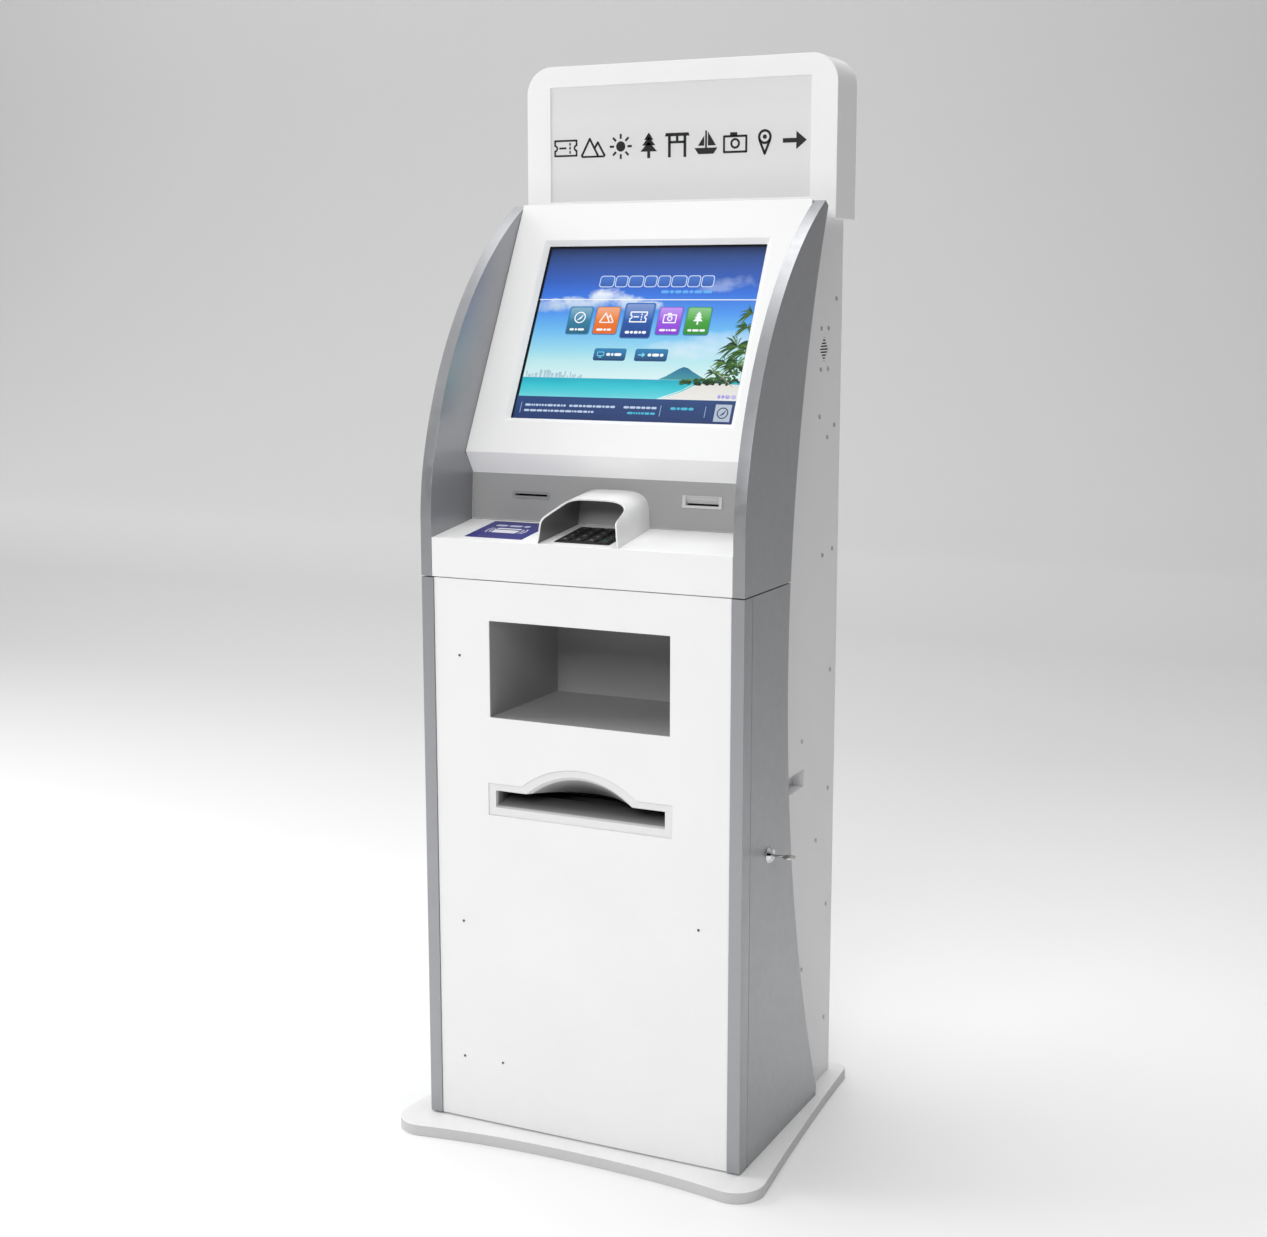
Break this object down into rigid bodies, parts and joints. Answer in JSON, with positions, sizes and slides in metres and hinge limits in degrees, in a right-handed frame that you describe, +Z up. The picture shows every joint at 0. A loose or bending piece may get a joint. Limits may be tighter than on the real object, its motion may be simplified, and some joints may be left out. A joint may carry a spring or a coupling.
{
  "type": "ticket vending machine",
  "caption": "Free-standing self-service ticket machine: floor plate, steel cabinet with hinged doors, sloped touch screen, keypad under a hood, card, receipt and ticket slots, sign box on top.",
  "frame": {"origin": "centre of the underside of the floor plate", "axes": "+Z up, the front with the screen and the door faces -Y, +X to the right seen from the front"},
  "size_m": [0.628, 0.525, 1.69],
  "materials": {
    "white_paint": "smooth satin powder coat",
    "cabinet_paint": "smooth satin powder coat",
    "base_paint": "satin powder coat",
    "silver_paint": "silver metallic paint, soft reflections",
    "bin_paint": "fine grained grey powder coat",
    "touch_glass": "clear polished",
    "display": "lit screen",
    "dark_steel": "matt black",
    "black_plastic": "fine texture",
    "grey_plastic": "fine texture",
    "pale_plastic": "fine texture",
    "hood_plastic": "moulded, soft gloss",
    "key_plastic": "fine texture with pale legends",
    "label_vinyl": "printed vinyl",
    "sign_acrylic": "satin diffuser",
    "lamp": "diffuser strip",
    "steel": "plain",
    "key_steel": "nickel plated",
    "chrome": "polished",
    "zinc": "zinc plated",
    "rubber": "matt",
    "paper": "thermal paper, wound"
  },
  "bodies": {
    "cabinet": {"base_plate": "base_paint", "cabinet_shell": "cabinet_paint", "side_panel_lower_left": "silver_paint", "side_panel_lower_right": "silver_paint", "side_panel_upper_left": "silver_paint", "side_panel_upper_right": "silver_paint", "screen_panel": "white_paint", "desk_panel": "white_paint", "touch_glass": "touch_glass", "lcd_panel": "display", "monitor_case": "dark_steel", "card_bezel": "pale_plastic", "card_reader": "black_plastic", "receipt_bezel": "pale_plastic", "receipt_printer": "black_plastic", "keypad_frame": "black_plastic", "keypad_hood": "hood_plastic", "contactless_reader": "black_plastic", "reader_label": "label_vinyl", "sign_box": "white_paint", "sign_face": "sign_acrylic", "sign_lamps": "lamp", "hinge_pins": "steel", "front_lock_barrel": "chrome", "computer": "dark_steel", "power_supply": "zinc", "ticket_printer": "dark_steel", "speakers": "black_plastic", "cabinet_screws": "steel"},
    "front_door": {"door_panel": "white_paint", "door_strips": "silver_paint", "pickup_bin": "bin_paint", "outlet_bezel": "pale_plastic"},
    "rear_door": {"rear_door": "cabinet_paint", "rear_lock_barrel": "chrome", "fan_frame": "black_plastic"},
    "fan": {"fan_rotor": "black_plastic"},
    "rear_lock": {"rear_lock_cam": "zinc"},
    "front_lock": {"front_lock_key": "key_steel", "front_lock_cam": "zinc"},
    "ticket_platen": {"ticket_platen": "rubber"},
    "ticket_roll": {"ticket_roll": "paper"},
    "receipt_platen": {"receipt_platen": "rubber"},
    "receipt_roll": {"receipt_roll": "paper"},
    "key_1": {"key_1": "key_plastic"},
    "key_2": {"key_2": "key_plastic"},
    "key_3": {"key_3": "key_plastic"},
    "key_cancel": {"key_cancel": "key_plastic"},
    "key_4": {"key_4": "key_plastic"},
    "key_5": {"key_5": "key_plastic"},
    "key_6": {"key_6": "key_plastic"},
    "key_clear": {"key_clear": "key_plastic"},
    "key_7": {"key_7": "key_plastic"},
    "key_8": {"key_8": "key_plastic"},
    "key_9": {"key_9": "key_plastic"},
    "key_help": {"key_help": "key_plastic"},
    "key_left": {"key_left": "key_plastic"},
    "key_0": {"key_0": "key_plastic"},
    "key_right": {"key_right": "key_plastic"},
    "key_enter": {"key_enter": "key_plastic"}
  },
  "joints": [
    {"name": "front_door_hinge", "type": "hinge", "parent": "cabinet", "child": "front_door", "pos_m": [-0.264, -0.1985, 0.457], "axis": [0, 0, -1], "range_deg": [0, 110]},
    {"name": "rear_door_hinge", "type": "hinge", "parent": "cabinet", "child": "rear_door", "pos_m": [0.2135, 0.2305, 0.73], "axis": [0, 0, -1], "range_deg": [0, 105]},
    {"name": "front_lock_turn", "type": "hinge", "parent": "cabinet", "child": "front_lock", "pos_m": [0.27, -0.1005, 0.49], "axis": [-1, 0, 0], "range_deg": [0, 90]},
    {"name": "rear_lock_turn", "type": "hinge", "parent": "rear_door", "child": "rear_lock", "pos_m": [-0.198, 0.2365, 0.72], "axis": [0, 1, 0], "range_deg": [0, 90]},
    {"name": "fan_spin", "type": "hinge", "parent": "rear_door", "child": "fan", "pos_m": [0, 0.2205, 1.25], "axis": [0, 1, 0], "continuous": true},
    {"name": "ticket_platen_turn", "type": "hinge", "parent": "cabinet", "child": "ticket_platen", "pos_m": [0, -0.0955, 0.545], "axis": [1, 0, 0], "continuous": true},
    {"name": "ticket_roll_turn", "type": "hinge", "parent": "cabinet", "child": "ticket_roll", "pos_m": [0, 0.1145, 0.545], "axis": [1, 0, 0], "continuous": true},
    {"name": "receipt_platen_turn", "type": "hinge", "parent": "cabinet", "child": "receipt_platen", "pos_m": [0.148, -0.0295, 1.009], "axis": [1, 0, 0], "continuous": true},
    {"name": "receipt_roll_turn", "type": "hinge", "parent": "cabinet", "child": "receipt_roll", "pos_m": [0.148, 0.0185, 1.02], "axis": [1, 0, 0], "continuous": true},
    {"name": "key_1_press", "type": "slide", "parent": "cabinet", "child": "key_1", "axis": [0, 0.1307, -0.9914], "range_m": [0, 0.002], "stiffness_N_per_m": 250},
    {"name": "key_2_press", "type": "slide", "parent": "cabinet", "child": "key_2", "axis": [0, 0.1307, -0.9914], "range_m": [0, 0.002], "stiffness_N_per_m": 250},
    {"name": "key_3_press", "type": "slide", "parent": "cabinet", "child": "key_3", "axis": [0, 0.1307, -0.9914], "range_m": [0, 0.002], "stiffness_N_per_m": 250},
    {"name": "key_cancel_press", "type": "slide", "parent": "cabinet", "child": "key_cancel", "axis": [0, 0.1307, -0.9914], "range_m": [0, 0.002], "stiffness_N_per_m": 250},
    {"name": "key_4_press", "type": "slide", "parent": "cabinet", "child": "key_4", "axis": [0, 0.1307, -0.9914], "range_m": [0, 0.002], "stiffness_N_per_m": 250},
    {"name": "key_5_press", "type": "slide", "parent": "cabinet", "child": "key_5", "axis": [0, 0.1307, -0.9914], "range_m": [0, 0.002], "stiffness_N_per_m": 250},
    {"name": "key_6_press", "type": "slide", "parent": "cabinet", "child": "key_6", "axis": [0, 0.1307, -0.9914], "range_m": [0, 0.002], "stiffness_N_per_m": 250},
    {"name": "key_clear_press", "type": "slide", "parent": "cabinet", "child": "key_clear", "axis": [0, 0.1307, -0.9914], "range_m": [0, 0.002], "stiffness_N_per_m": 250},
    {"name": "key_7_press", "type": "slide", "parent": "cabinet", "child": "key_7", "axis": [0, 0.1307, -0.9914], "range_m": [0, 0.002], "stiffness_N_per_m": 250},
    {"name": "key_8_press", "type": "slide", "parent": "cabinet", "child": "key_8", "axis": [0, 0.1307, -0.9914], "range_m": [0, 0.002], "stiffness_N_per_m": 250},
    {"name": "key_9_press", "type": "slide", "parent": "cabinet", "child": "key_9", "axis": [0, 0.1307, -0.9914], "range_m": [0, 0.002], "stiffness_N_per_m": 250},
    {"name": "key_help_press", "type": "slide", "parent": "cabinet", "child": "key_help", "axis": [0, 0.1307, -0.9914], "range_m": [0, 0.002], "stiffness_N_per_m": 250},
    {"name": "key_left_press", "type": "slide", "parent": "cabinet", "child": "key_left", "axis": [0, 0.1307, -0.9914], "range_m": [0, 0.002], "stiffness_N_per_m": 250},
    {"name": "key_0_press", "type": "slide", "parent": "cabinet", "child": "key_0", "axis": [0, 0.1307, -0.9914], "range_m": [0, 0.002], "stiffness_N_per_m": 250},
    {"name": "key_right_press", "type": "slide", "parent": "cabinet", "child": "key_right", "axis": [0, 0.1307, -0.9914], "range_m": [0, 0.002], "stiffness_N_per_m": 250},
    {"name": "key_enter_press", "type": "slide", "parent": "cabinet", "child": "key_enter", "axis": [0, 0.1307, -0.9914], "range_m": [0, 0.002], "stiffness_N_per_m": 250}
  ],
  "couplings": [
    {"joint": "ticket_platen_turn", "follows": "ticket_roll_turn", "ratio": 6.1111},
    {"joint": "receipt_platen_turn", "follows": "receipt_roll_turn", "ratio": 4.6667}
  ]
}
